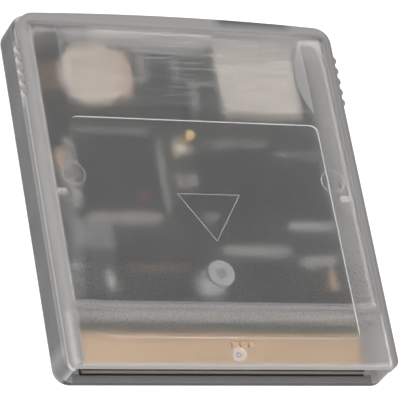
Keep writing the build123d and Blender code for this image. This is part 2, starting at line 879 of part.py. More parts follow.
work_memory_chip = chip_body(work_x, work_y, work_width, work_body, work_height)
work_memory_chip.part.label = "work_memory_chip"
export_step(work_memory_chip.part, "parts/work_memory_chip.step")

work_memory_leads = chip_leads(
    work_x, work_y, work_body / 2, 2, 90, work_lead_count, work_pitch, work_reach, work_height
)
work_memory_leads.part.label = "work_memory_leads"
export_step(work_memory_leads.part, "parts/work_memory_leads.step")

bus_buffer_chip = chip_body(bus_x, bus_y, bus_width, bus_body, bus_height)
bus_buffer_chip.part.label = "bus_buffer_chip"
export_step(bus_buffer_chip.part, "parts/bus_buffer_chip.step")

bus_buffer_leads = chip_leads(
    bus_x, bus_y, bus_body / 2, 2, 90, bus_lead_count, bus_pitch, bus_reach, bus_height
)
bus_buffer_leads.part.label = "bus_buffer_leads"
export_step(bus_buffer_leads.part, "parts/bus_buffer_leads.step")

line_buffer_chip = chip_body(work_x, line_y, line_width, line_body, line_height)
line_buffer_chip.part.label = "line_buffer_chip"
export_step(line_buffer_chip.part, "parts/line_buffer_chip.step")

line_buffer_leads = chip_leads(
    work_x, line_y, line_body / 2, 2, 90, line_lead_count, line_pitch, line_reach, line_height
)
line_buffer_leads.part.label = "line_buffer_leads"
export_step(line_buffer_leads.part, "parts/line_buffer_leads.step")

clock_chip = chip_body(clock_x, clock_y, clock_body, clock_width, clock_height)
clock_chip.part.label = "clock_chip"
export_step(clock_chip.part, "parts/clock_chip.step")

clock_chip_leads = chip_leads(
    clock_x, clock_y, clock_body / 2, 2, 0, clock_lead_count, clock_pitch, clock_reach, clock_height
)
clock_chip_leads.part.label = "clock_chip_leads"
export_step(clock_chip_leads.part, "parts/clock_chip_leads.step")

voltage_regulator = chip_body(
    regulator_x, regulator_y, regulator_body, regulator_width, regulator_height
)
voltage_regulator.part.label = "voltage_regulator"
export_step(voltage_regulator.part, "parts/voltage_regulator.step")

# Regulator leads: three narrow ones at the board's edge and a wide cooling tab
regulator_exit = lead_standoff + regulator_height / 2
regulator_lead = gull_wing(regulator_lead_width, regulator_reach, regulator_exit, lead_sheet)
regulator_tab = gull_wing(regulator_tab_width, regulator_reach, regulator_exit, lead_sheet)
with BuildPart() as regulator_leads:
    with Locations((regulator_x, regulator_y, board_top)):
        with PolarLocations(regulator_body / 2, 1, 180):
            with GridLocations(0, regulator_pitch, 1, 3):
                add(regulator_lead, clean=False)
        with PolarLocations(regulator_body / 2, 1, 0):
            add(regulator_tab, clean=False)

regulator_leads.part.label = "regulator_leads"
export_step(regulator_leads.part, "parts/regulator_leads.step")

# Oscillator: a low can with a raised lid
with BuildPart() as oscillator:
    with BuildSketch(Plane.XY.offset(board_top)):
        with Locations((oscillator_x, oscillator_y)):
            Rectangle(oscillator_length, oscillator_width)
    extrude(amount=oscillator_height - oscillator_lid_step)
    with BuildSketch(Plane.XY.offset(board_top + oscillator_height - oscillator_lid_step)):
        with Locations((oscillator_x, oscillator_y)):
            Rectangle(
                oscillator_length - 2 * oscillator_lid_margin,
                oscillator_width - 2 * oscillator_lid_margin,
            )
    extrude(amount=oscillator_lid_step)

oscillator.part.label = "oscillator"
export_step(oscillator.part, "parts/oscillator.step")

# Watch crystal: a small round can lying on the board, with two wires at its mouth end
crystal_wire_lead = gull_wing(
    crystal_wire, crystal_wire_reach, crystal_diameter / 2, crystal_wire
)
with BuildPart() as clock_crystal:
    with BuildSketch(
        Plane(origin=(crystal_x, crystal_y, board_top + crystal_diameter / 2), z_dir=(0, 1, 0))
    ):
        Circle(crystal_diameter / 2)
    extrude(amount=crystal_length / 2, both=True)
    with BuildSketch(
        Plane(
            origin=(crystal_x, crystal_y - crystal_length / 2, board_top + crystal_diameter / 2),
            z_dir=(0, -1, 0),
        )
    ):
        Circle(crystal_wire_spacing)
    extrude(amount=crystal_collar)
    with Locations((crystal_x, crystal_y - crystal_length / 2 - crystal_collar, board_top)):
        with PolarLocations(0, 1, -90):
            with GridLocations(0, crystal_wire_spacing, 1, 2):
                add(crystal_wire_lead)

clock_crystal.part.label = "clock_crystal"
export_step(clock_crystal.part, "parts/clock_crystal.step")

# Tantalum capacitors, standing lengthwise beside the logic chip and below the line buffer
tantalum_block = end_capped_block(
    tantalum_length, tantalum_width, tantalum_height, tantalum_terminal, tantalum_step
)
with BuildPart() as tantalum_capacitors:
    with Locations(
        Location((tantalum_left_x, tantalum_left_y, board_top), (0, 0, 90)),
        Location((tantalum_right_x, tantalum_right_y, board_top), (0, 0, 90)),
    ):
        add(tantalum_block, clean=False)

tantalum_capacitors.part.label = "tantalum_capacitors"
export_step(tantalum_capacitors.part, "parts/tantalum_capacitors.step")

# Ceramic capacitors in the lane between the logic and memory chips
ceramic_block = end_capped_block(
    ceramic_length, ceramic_width, ceramic_height, ceramic_terminal, ceramic_step
)
with BuildPart() as ceramic_capacitors:
    with Locations((ceramic_pair_x, logic_y - ceramic_pair_drop, board_top)):
        with GridLocations(ceramic_pitch, 0, 2, 1):
            add(ceramic_block, rotation=(0, 0, 90), clean=False)
    with Locations((ceramic_single_x, logic_y - ceramic_single_drop, board_top)):
        add(ceramic_block, clean=False)

ceramic_capacitors.part.label = "ceramic_capacitors"
export_step(ceramic_capacitors.part, "parts/ceramic_capacitors.step")

# Resistors in two rows, left and right of the screw
resistor_block = end_capped_block(
    resistor_length, resistor_width, resistor_height, resistor_terminal, resistor_step
)
with BuildPart() as resistors:
    with Locations((0, resistor_y, board_top)):
        with GridLocations(2 * resistor_row_x, 0, 2, 1):
            with GridLocations(resistor_pitch, 0, resistor_count, 1):
                add(resistor_block, rotation=(0, 0, 90), clean=False)

resistors.part.label = "resistors"
export_step(resistors.part, "parts/resistors.step")
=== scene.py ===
"""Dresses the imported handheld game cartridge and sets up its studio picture.

Every object is in metres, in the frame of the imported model. The cartridge lies on its back: +Z comes
out of the front face, +Y points to the grip end and the contact mouth faces -Y.
"""

import logging
from dataclasses import dataclass
from enum import Enum
from typing import Any, Mapping, Sequence

import bmesh
import bpy
import numpy as np
from mathutils import Matrix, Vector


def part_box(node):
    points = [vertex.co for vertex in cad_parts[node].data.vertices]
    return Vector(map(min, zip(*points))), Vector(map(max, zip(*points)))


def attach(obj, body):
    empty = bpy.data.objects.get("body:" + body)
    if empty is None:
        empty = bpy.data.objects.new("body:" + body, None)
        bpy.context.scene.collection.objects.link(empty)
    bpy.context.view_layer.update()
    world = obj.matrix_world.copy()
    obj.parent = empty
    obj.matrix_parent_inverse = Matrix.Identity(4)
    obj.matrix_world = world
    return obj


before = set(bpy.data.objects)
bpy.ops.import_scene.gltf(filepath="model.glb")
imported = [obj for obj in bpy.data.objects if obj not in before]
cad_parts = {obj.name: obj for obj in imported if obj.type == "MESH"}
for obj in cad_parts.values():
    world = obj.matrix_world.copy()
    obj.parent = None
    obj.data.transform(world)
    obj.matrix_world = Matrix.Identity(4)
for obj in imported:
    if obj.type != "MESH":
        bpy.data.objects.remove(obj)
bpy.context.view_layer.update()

log = logging.getLogger("cartridge")
logging.basicConfig(level=logging.INFO, format="%(name)s: %(message)s")

ROOT_BODY = "root"

MM = 0.001
# Points closer than this, in metres, are welded.
WELD = 1e-7
# Values that most of Blender's noise lies between.
NOISE_SPAN = (0.3, 0.7)
# Detail of the noise in fine grains and lines.
FINE_DETAIL = 2.0
# About the width of one band of Blender's wave texture at a scale of 1, in metres.
WAVE_BAND = 0.31
# Ends of a mask that rises or falls along a ramp.
RISING = (0.0, 1.0)
FALLING = (1.0, 0.0)
WHITE = (1.0, 1.0, 1.0)

Colour = tuple[float, float, float]
Point = tuple[float, float, float]
Pair = tuple[float, float]
Socket = bpy.types.NodeSocket
Material = bpy.types.Material


class Brush(Enum):
    """Direction of the fine lines on a surface, as the scale of their coordinates."""

    ALONG_X = (0.04, 1.0, 1.0)
    ALONG_Y = (1.0, 0.04, 1.0)
    NONE = (1.0, 1.0, 1.0)


class Slot(Enum):
    """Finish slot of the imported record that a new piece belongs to."""

    SHELL = "shell"
    LEADS = "lead_frame"
    CHIPS = "chip_moulding"


class ShaderSheet:
    """Node tree of one material, ending in a Principled shader."""

    def __init__(self, name: str) -> None:
        """Makes an empty material with a Principled shader on its output.

        Args:
            name: Name of the material.
        """
        self.material = bpy.data.materials.new(name)
        self.material.use_nodes = True
        self.tree = self.material.node_tree
        self.tree.nodes.clear()
        self.shader = self.tree.nodes.new("ShaderNodeBsdfPrincipled")
        output = self.tree.nodes.new("ShaderNodeOutputMaterial")
        self.tree.links.new(self.shader.outputs["BSDF"], output.inputs["Surface"])

    def put(self, target: Socket, value: Any) -> None:
        """Feeds a socket of a node.

        Args:
            target: Socket that is fed.
            value: Another socket, which is linked to it, or a plain value or colour, which is set on it.
        """
        if isinstance(value, Socket):
            self.tree.links.new(value, target)
        elif target.type == "RGBA":
            target.default_value = (*value, 1.0)
        else:
            target.default_value = value

    def set(self, **sockets: Any) -> None:
        """Sets Principled sockets, named with underscores for spaces."""
        for name, value in sockets.items():
            self.put(self.shader.inputs[name.replace("_", " ")], value)

    def node(self, kind: str, inputs: Mapping[str | int, Any], **settings: Any) -> bpy.types.Node:
        """Adds a node.

        Args:
            kind: Type of the node, without its ShaderNode prefix.
            inputs: Socket names or numbers, and what each gets.
            **settings: Properties of the node itself.

        Returns:
            The new node.
        """
        made = self.tree.nodes.new("ShaderNode" + kind)
        for name, value in settings.items():
            setattr(made, name, value)
        for key, value in inputs.items():
            self.put(made.inputs[key], value)
        return made

    def coords(self, stretch: Point = (1.0, 1.0, 1.0)) -> Socket:
        """Object coordinates, in metres, stretched along the axes."""
        place = self.node("TexCoord", {}).outputs["Object"]
        return self.node("Mapping", {"Vector": place, "Scale": stretch}).outputs["Vector"]

    def noise(self, size: float, detail: float = 3.0, stretch: Point = (1.0, 1.0, 1.0)) -> Socket:
        """Adds a noise.

        Args:
            size: Size of its largest features, in metres.
            detail: Number of finer layers on them.
            stretch: Scale of the coordinates along the axes, where a small one draws the noise out.

        Returns:
            The noise, from 0 to 1.
        """
        made = self.node(
            "TexNoise", {"Vector": self.coords(stretch), "Scale": 1.0 / size, "Detail": detail}
        )
        return made.outputs["Fac"]

    def remap(self, value: Socket, source: Sequence[float], target: Sequence[float]) -> Socket:
        """Maps a range of values to another one and clamps the result to it.

        Args:
            value: Value that is mapped.
            source: Ends of its range.
            target: What they become.

        Returns:
            The mapped value.
        """
        # Sockets 1 and 2 are the ends of the first range, 3 and 4 those of the second one.
        ends = {1: source[0], 2: source[1], 3: target[0], 4: target[1]}
        return self.node("MapRange", {"Value": value, **ends}).outputs["Result"]

    def mix(self, factor: Socket, low: Any, high: Any) -> Socket:
        """Blends two colours.

        Args:
            factor: Share of the second colour.
            low: First colour.
            high: Second colour.

        Returns:
            The blended colour.
        """
        # Sockets 6 and 7 and output 2 are the ones for colours.
        made = self.node("Mix", {"Factor": factor}, data_type="RGBA")
        self.put(made.inputs[6], low)
        self.put(made.inputs[7], high)
        return made.outputs[2]

    def math(self, operation: str, first: Any, second: Any = 0.0) -> Socket:
        """One arithmetic step on two values."""
        return self.node("Math", {0: first, 1: second}, operation=operation).outputs["Value"]

    def bump(self, height: Socket, depth: float, strength: float = 1.0) -> None:
        """Tilts the shader's normal by a height map.

        Args:
            height: Height from 0 to 1.
            depth: What a height of 1 stands for, in metres.
            strength: Share of the tilt that is used.
        """
        made = self.node("Bump", {"Height": height, "Distance": depth, "Strength": strength})
        self.set(Normal=made.outputs["Normal"])

    def box_mask(self, centre: Sequence[float], half: Sequence[float], soft: float) -> Socket:
        """1 inside an upright box in X and Y and 0 outside it.

        The mask is the product of two ramps in the distance from the centre, one along each axis.

        Args:
            centre: Middle of the box, in metres.
            half: Half of its width and length.
            soft: Width of the ramp at its edge.

        Returns:
            The mask's socket.
        """
        place = self.node("SeparateXYZ", {0: self.coords()})
        ramps = []
        for axis in (0, 1):
            offset = self.math("SUBTRACT", place.outputs[axis], centre[axis])
            reach = self.math("ABSOLUTE", offset)
            ramps.append(self.remap(reach, (half[axis] - soft, half[axis]), FALLING))
        return self.math("MULTIPLY", *ramps)

    def disc_mask(self, centre: Sequence[float], radius: float, soft: float) -> Socket:
        """1 inside an upright cylinder and 0 outside it.

        Args:
            centre: Its axis in X and Y, in metres.
            radius: Its radius.
            soft: Width of the ramp at its edge.

        Returns:
            The mask's socket.
        """
        flat = self.node("VectorMath", {0: self.coords(), 1: (1.0, 1.0, 0.0)}, operation="MULTIPLY")
        axis = (centre[0], centre[1], 0.0)
        reach = self.node("VectorMath", {0: flat.outputs[0], 1: axis}, operation="DISTANCE")
        return self.remap(reach.outputs["Value"], (radius - soft, radius), FALLING)


@dataclass(frozen=True)
class Patch:
    """Area of the case in X and Y: a box by its centre and half size, or a disc if it has a radius.

    Its lengths are in millimetres. The mask is share inside the area, or outside it if a box is inverted,
    and soft is the width of the ramp at its edge. A disc may have a hole, where hole_share of that is left.
    """

    centre: Pair
    half: Pair = (0.0, 0.0)
    radius: float = 0.0
    hole: float = 0.0
    hole_share: float = 0.4
    soft: float = 0.3
    share: float = 1.0
    inverted: bool = False

    def mask(self, sheet: ShaderSheet) -> Socket:
        """Adds the patch's mask to a material.

        Args:
            sheet: Sheet of the material.

        Returns:
            share inside the area and 0 outside it, or the other way round for an inverted box.
        """
        centre = [part * MM for part in self.centre]
        soft = self.soft * MM
        if not self.radius:
            box = sheet.box_mask(centre, [part * MM for part in self.half], soft)
            ends = (self.share, 0.0) if self.inverted else (0.0, self.share)
            return sheet.remap(box, RISING, ends)
        disc = sheet.math("MULTIPLY", sheet.disc_mask(centre, self.radius * MM, soft), self.share)
        if not self.hole:
            return disc
        hole = sheet.disc_mask(centre, self.hole * MM, soft)
        return sheet.math("MULTIPLY", disc, sheet.remap(hole, RISING, (1.0, self.hole_share)))


Patches = tuple[Patch, ...]
NOWHERE = Patch((0.0, 0.0))
EVERYWHERE = Patch((0.0, 0.0), (100.0, 100.0))


@dataclass(frozen=True)
class SurfaceReading:
    """What a shell's material reads of its surface.

    normal has the parts X, Y and Z, slope is the size of Z, height is in metres, and inside is 1 for rays
    that meet the surface from within the plastic.
    """

    normal: bpy.types.Node
    slope: Socket
    height: Socket
    inside: Socket

    @classmethod
    def of(cls, sheet: ShaderSheet) -> "SurfaceReading":
        """Adds the nodes that read the surface.

        Args:
            sheet: Sheet of the material.

        Returns:
            The reading.
        """
        geometry = sheet.node("NewGeometry", {})
        normal = sheet.node("SeparateXYZ", {0: geometry.outputs["Normal"]})
        slope = sheet.math("ABSOLUTE", normal.outputs["Z"])
        height = sheet.node("SeparateXYZ", {0: sheet.coords()}).outputs["Z"]
        return cls(normal, slope, height, geometry.outputs["Backfacing"])


@dataclass(frozen=True)
class FrostedShell:
    """Translucent frosted plastic of the case: clear across its faces, milky where it is thick.

    Walls count as thick by their slope, the rim by its place outside the thin patch, and other faces by
    their height. A pair of heights, slopes or tilts gives where a change begins and where it is complete.
    """

    name: str
    # Tint and share of clear plastic where it is thin and where it is thick, and the tint of thick plastic
    # low on the case.
    clear_tint: Colour
    milky_tint: Colour
    dark_tint: Colour
    clear: float
    milky_clear: float
    milky_height: Pair
    dark_height: Pair
    roughness: Pair
    thin: Patch
    # Where thick plastic isn't dark although it is low, and where the dark plastic gets painted light.
    dark_inside: Patch = NOWHERE
    pale: Patches = ()
    # Shaded places, from a height up, and the shade on the low edge that faces the mouth.
    shaded: Patches = ()
    shade_tint: Colour = (0.012, 0.012, 0.012)
    shade_clear: float = 0.1
    shade_from: float = 1.0 * MM
    edge_shade: float = 0.0
    edge_tilt: Pair = (0.7, 0.9)
    edge_height: float = 1.5 * MM
    # Places that count as thick, and the slopes that do. Faces tilted to the left and right get a milky
    # share as painted light, more when tilted left. The rim's tint is complete at rim_lead of its ramp.
    thick: Patches = ()
    wall_slope: Pair = (0.3, 0.97)
    rim_lead: float = 0.65
    end_tilt: Pair = (0.1, 0.2)
    tilt_light_shares: Pair = (0.16, 0.08)
    # Painted highlight on the edges of the small steps on the face, and on fine lines of the same kind.
    scribed: Patches = ()
    step_highlight_tint: Colour = (0.93, 0.925, 0.92)
    step_clear: float = 0.3
    step_slope: Pair = (0.2, 0.4)
    step_height: float = 7.52 * MM
    step_area: Patch = Patch((0.0, -1.9), (27.2, 29.6))
    # Smooth places, and the roughness there.
    polished: Patches = ()
    polish: float = 0.12
    # Places with dark specks.
    coarse: Patches = ()
    speckle_size: float = 0.24 * MM
    speckle_limits: Pair = (0.48, 0.66)
    speckle_tint: Colour = (0.5, 0.5, 0.5)
    # Places with hazy lines along X.
    brushed: Patches = ()
    brush_size: float = 0.35 * MM
    brush_limits: Pair = (0.56, 0.74)
    brush_haze: float = 0.14
    # Clouds in the frosting, and the fine grain of the surface.
    cloud_size: float = 6.0 * MM
    grain_size: float = 0.16 * MM
    grain_depth: float = 0.004 * MM
    inside_tint: Colour = (0.98, 0.98, 0.98)
    ior: float = 1.4

    def total(self, sheet: ShaderSheet, patches: Patches) -> Socket | float:
        """Adds the joint mask of several patches.

        Args:
            sheet: Sheet of the material.
            patches: The patches.

        Returns:
            The largest of their masks, or 0 if there are none.
        """
        whole: Socket | float = 0.0
        for patch in patches:
            whole = sheet.math("MAXIMUM", patch.mask(sheet), whole)
        return whole

    def thickness(self, sheet: ShaderSheet, surface: SurfaceReading) -> tuple[Socket, Socket]:
        """Adds the masks of the thick plastic, with painted light on faces tilted to the left and right
        counted in.

        Args:
            sheet: Sheet of the material.
            surface: Reading of the surface.

        Returns:
            The mask for the clearness, and the one for the tint, which is full sooner at the rim.
        """
        wall = sheet.remap(surface.slope, self.wall_slope, FALLING)
        thick = sheet.math("MAXIMUM", wall, sheet.remap(surface.height, self.milky_height, RISING))
        thick = sheet.math("MAXIMUM", thick, self.total(sheet, self.thick))
        for sign, share in zip((-1.0, 1.0), self.tilt_light_shares):
            tilt = sheet.math("MULTIPLY", surface.normal.outputs["X"], sign)
            thick = sheet.math("MAXIMUM", thick, sheet.remap(tilt, self.end_tilt, (0.0, share)))
        rim = sheet.math("SUBTRACT", 1.0, self.thin.mask(sheet))
        lead = sheet.remap(rim, (0.0, self.rim_lead), RISING)
        return sheet.math("MAXIMUM", thick, rim), sheet.math("MAXIMUM", thick, lead)

    def low(self, sheet: ShaderSheet, surface: SurfaceReading) -> Socket:
        """Mask of the places low on the case, where thick plastic is dark."""
        outer = sheet.math("SUBTRACT", 1.0, self.dark_inside.mask(sheet))
        return sheet.math("MULTIPLY", sheet.remap(surface.height, self.dark_height, FALLING), outer)

    def steps(self, sheet: ShaderSheet, surface: SurfaceReading) -> Socket:
        """Adds the mask of the painted highlights on the edges of the small steps and on the scribed lines
        of the face.

        Args:
            sheet: Sheet of the material.
            surface: Reading of the surface.

        Returns:
            The mask.
        """
        steep = sheet.remap(surface.slope, self.step_slope, FALLING)
        on_face = sheet.math("GREATER_THAN", surface.height, self.step_height)
        edges = sheet.math("MULTIPLY", steep, on_face)
        edges = sheet.math("MULTIPLY", edges, self.step_area.mask(sheet))
        scribed = sheet.math("MULTIPLY", self.total(sheet, self.scribed), on_face)
        return sheet.math("MAXIMUM", edges, scribed)

    def shade(self, sheet: ShaderSheet, surface: SurfaceReading) -> Socket:
        """Adds the mask of the shaded places and of the low edge that faces the mouth.

        Args:
            sheet: Sheet of the material.
            surface: Reading of the surface.

        Returns:
            The mask.
        """
        facing = sheet.math("MULTIPLY", surface.normal.outputs["Y"], -1.0)
        edge = sheet.remap(facing, self.edge_tilt, (0.0, self.edge_shade))
        edge = sheet.math("MULTIPLY", edge, sheet.math("LESS_THAN", surface.height, self.edge_height))
        above = sheet.math("GREATER_THAN", surface.height, self.shade_from)
        places = sheet.math("MULTIPLY", self.total(sheet, self.shaded), above)
        return sheet.math("MAXIMUM", places, edge)

    def specks(self, sheet: ShaderSheet) -> Socket:
        """Mask of the dark specks."""
        specks = sheet.remap(sheet.noise(self.speckle_size, FINE_DETAIL), self.speckle_limits, RISING)
        return sheet.math("MULTIPLY", specks, self.total(sheet, self.coarse))

    def lines(self, sheet: ShaderSheet) -> Socket:
        """Adds the hazy lines of the brushed places.

        Args:
            sheet: Sheet of the material.

        Returns:
            The haze, up to brush_haze.
        """
        noise = sheet.noise(self.brush_size, FINE_DETAIL, Brush.ALONG_X.value)
        haze = sheet.remap(noise, self.brush_limits, (0.0, self.brush_haze))
        return sheet.math("MULTIPLY", haze, self.total(sheet, self.brushed))

    def frosting(self, sheet: ShaderSheet) -> Socket:
        """Adds the roughness: cloudy, and even on the polished places.

        Args:
            sheet: Sheet of the material.

        Returns:
            The roughness.
        """
        frost = sheet.remap(sheet.noise(self.cloud_size), NOISE_SPAN, self.roughness)
        change = sheet.math("SUBTRACT", self.polish, frost)
        gloss = sheet.math("MULTIPLY", self.total(sheet, self.polished), change)
        return sheet.math("ADD", frost, gloss)

    def material(self) -> Material:
        """See-through plastic with a fine grain, a painted highlight on the small steps of the face, and
        painted light and shade on set places.

        Returns:
            The material.
        """
        sheet = ShaderSheet(self.name)
        surface = SurfaceReading.of(sheet)
        milky, tinted = self.thickness(sheet, surface)
        dark = self.low(sheet, surface)
        # pale is painted light that lifts the dark lower part towards the clear tint
        pale = sheet.math("MULTIPLY", self.total(sheet, self.pale), dark)
        step = self.steps(sheet, surface)
        shade = self.shade(sheet, surface)
        deep = sheet.mix(pale, self.dark_tint, self.clear_tint)
        colour = sheet.mix(tinted, self.clear_tint, sheet.mix(dark, self.milky_tint, deep))
        colour = sheet.mix(shade, colour, self.shade_tint)
        colour = sheet.mix(self.specks(sheet), colour, self.speckle_tint)
        # Painted highlight on the step edges and the scribed lines
        colour = sheet.mix(step, colour, self.step_highlight_tint)
        clear = sheet.remap(milky, RISING, (self.clear, self.milky_clear))
        clear = sheet.math("MULTIPLY", clear, sheet.math("SUBTRACT", 1.0, pale))
        clear = sheet.math("MULTIPLY", clear, sheet.remap(step, RISING, (1.0, self.step_clear)))
        clear = sheet.math("MULTIPLY", clear, sheet.remap(shade, RISING, (1.0, self.shade_clear)))
        clear = sheet.math("SUBTRACT", clear, self.lines(sheet))
        sheet.set(
            Base_Color=sheet.mix(surface.inside, colour, self.inside_tint),
            IOR=self.ior,
            Transmission_Weight=sheet.math("MAXIMUM", clear, surface.inside),
            Roughness=self.frosting(sheet),
        )
        sheet.shader.distribution = "MULTI_GGX"
        sheet.bump(sheet.noise(self.grain_size, FINE_DETAIL), self.grain_depth)
        return sheet.material


@dataclass(frozen=True)
class Moulding:
    """Opaque moulded or fired material with a faint mottle."""

    name: str
    low: Colour
    high: Colour
    roughness: Pair
    specular: float = 0.5
    mottle_size: float = 1.5 * MM
    grain_size: float = 0.08 * MM
    grain_depth: float = 0.003 * MM

    def material(self) -> Material:
        """Mottled colour, uneven gloss and a fine grain.

        Returns:
            The material.
        """
        sheet = ShaderSheet(self.name)
        mottle = sheet.remap(sheet.noise(self.mottle_size), NOISE_SPAN, RISING)
        sheet.set(
            Base_Color=sheet.mix(mottle, self.low, self.high),
            Roughness=sheet.remap(mottle, RISING, self.roughness),
            Specular_IOR_Level=self.specular,
        )
        sheet.bump(sheet.noise(self.grain_size, FINE_DETAIL), self.grain_depth)
        return sheet.material


@dataclass(frozen=True)
class Plating:
    """Plated, tinned or bare metal with drawing lines and a little tarnish."""

    name: str
    bright: Colour
    tarnish: Colour
    roughness: Pair
    brush: Brush = Brush.NONE
    tarnish_size: float = 3.0 * MM
    tarnish_limits: Pair = (0.35, 0.7)
    line_size: float = 0.06 * MM
    line_depth: float = 0.002 * MM
    cover: Patch | None = None
    cover_tint: Colour = (0.018, 0.022, 0.02)

    def material(self) -> Material:
        """Metal whose colour and gloss drift with the tarnish, dark where resist covers it.

        Returns:
            The material.
        """
        sheet = ShaderSheet(self.name)
        drift = sheet.remap(sheet.noise(self.tarnish_size), self.tarnish_limits, RISING)
        lines = sheet.noise(self.line_size, FINE_DETAIL, self.brush.value)
        colour = sheet.mix(drift, self.bright, self.tarnish)
        bare: Socket | float = 1.0
        if self.cover:
            hidden = self.cover.mask(sheet)
            colour = sheet.mix(hidden, colour, self.cover_tint)
            bare = sheet.math("SUBTRACT", 1.0, hidden)
        sheet.set(
            Base_Color=colour,
            Metallic=bare,
            Roughness=sheet.remap(lines, NOISE_SPAN, self.roughness),
        )
        sheet.bump(lines, self.line_depth)
        return sheet.material


@dataclass(frozen=True)
class BoardResist:
    """Circuit board: dark solder resist with runs of traces under it, tan laminate at the cut edges."""

    name: str
    resist: Colour
    trace: Colour
    laminate: Colour
    roughness: float = 0.42
    trace_pitch: float = 0.8 * MM
    trace_limits: Pair = (0.5, 0.6)
    trace_height: float = 0.02 * MM
    trace_tilt: float = 0.5
    # Patches of the board that have traces.
    patch_size: float = 7.0 * MM
    patch_detail: float = 1.0
    patch_limits: Pair = (0.5, 0.52)
    # Upright share of the normal above which a surface is a face, and not a cut edge.
    edge_limit: float = 0.8
    fibre_size: float = 0.25 * MM
    fibre_stretch: Point = (0.2, 1.0, 1.0)
    fibre_shade: float = 0.7

    def material(self) -> Material:
        """Resist on the faces that look up or down, laminate on the cut edges.

        Returns:
            The material.
        """
        sheet = ShaderSheet(self.name)
        runs = sheet.node(
            "TexWave",
            {"Vector": sheet.coords(), "Scale": WAVE_BAND / self.trace_pitch, "Distortion": 0.0},
            bands_direction="X",
        )
        noise = sheet.noise(self.patch_size, self.patch_detail)
        patches = sheet.remap(noise, self.patch_limits, RISING)
        traces = sheet.remap(runs.outputs["Fac"], self.trace_limits, RISING)
        shown = sheet.math("MULTIPLY", traces, patches)
        face = sheet.mix(shown, self.resist, self.trace)
        normal = sheet.node("SeparateXYZ", {0: sheet.node("NewGeometry", {}).outputs["Normal"]})
        upright = sheet.math("ABSOLUTE", normal.outputs["Z"])
        is_face = sheet.math("GREATER_THAN", upright, self.edge_limit)
        fibre = sheet.noise(self.fibre_size, FINE_DETAIL, self.fibre_stretch)
        shaded = tuple(self.fibre_shade * part for part in self.laminate)
        edge = sheet.mix(fibre, self.laminate, shaded)
        sheet.set(Base_Color=sheet.mix(is_face, edge, face), Roughness=self.roughness)
        sheet.bump(shown, self.trace_height, self.trace_tilt)
        return sheet.material


def mesh_from_grids(
    name: str, grids: np.ndarray, closed: tuple[bool, bool], finish: Material
) -> bpy.types.Object:
    """Makes one smooth mesh object from equal grids of points.

    Points that fall together are welded, so a row that shrinks to a point closes the surface there.

    Args:
        name: Name of the object.
        grids: Array of grids, rows, columns and XYZ, in metres.
        closed: Whether the last row joins the first one, and the last column the first one.
        finish: Material of the surface.

    Returns:
        The object, linked to the scene, at the origin.
    """
    count, rows, columns = grids.shape[:3]
    index = np.arange(count * rows * columns).reshape(count, rows, columns)
    if closed[0]:
        index = np.concatenate([index, index[:, :1]], axis=1)
    if closed[1]:
        index = np.concatenate([index, index[:, :, :1]], axis=2)
    quads = np.stack(
        [index[:, :-1, :-1], index[:, 1:, :-1], index[:, 1:, 1:], index[:, :-1, 1:]], axis=-1
    )
    mesh = bpy.data.meshes.new(name)
    mesh.from_pydata(grids.reshape(-1, 3).tolist(), [], quads.reshape(-1, 4).tolist())
    solid = bmesh.new()
    solid.from_mesh(mesh)
    bmesh.ops.remove_doubles(solid, verts=solid.verts, dist=WELD)
    bmesh.ops.recalc_face_normals(solid, faces=solid.faces)
    solid.to_mesh(mesh)
    solid.free()
    mesh.materials.append(finish)
    mesh.polygons.foreach_set("use_smooth", np.ones(len(mesh.polygons), dtype=bool))
    mesh.update()
    made = bpy.data.objects.new(name, mesh)
    bpy.context.scene.collection.objects.link(made)
    return made


def turned(profile: np.ndarray, centres: np.ndarray, sides: int = 24) -> np.ndarray:
    """Turns a profile about upright axes.

    The surface takes the profile's radius and height along its rows, and the turn angle along its
    columns: X and Y are the radius times the cosine and the sine of the angle, and Z is the height.

    Args:
        profile: Array of radius and height pairs.
        centres: Array of XYZ centres, one for each copy.
        sides: Number of columns.

    Returns:
        The grids, to be closed along the columns.
    """
    angle = np.linspace(0.0, 2.0 * np.pi, sides, endpoint=False)
    radius, height = profile[:, :1], profile[:, 1:]
    ring = np.stack(
        np.broadcast_arrays(radius * np.cos(angle), radius * np.sin(angle), height), axis=-1
    )
    return centres[:, None, None, :] + ring


def dress(nodes: Sequence[str], finish: Material) -> None:
    """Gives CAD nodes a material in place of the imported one.

    Args:
        nodes: Names of the nodes.
        finish: The material.
    """
    for node in nodes:
        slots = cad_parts[node].data.materials
        slots.clear()
        slots.append(finish)
        log.info("dressed %s with %s", node, finish.name)


def carry(piece: bpy.types.Object) -> None:
    """Puts a new piece on the cartridge's only body.

    Args:
        piece: The piece.
    """
    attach(piece, ROOT_BODY)
    log.info("built %s", piece.name)


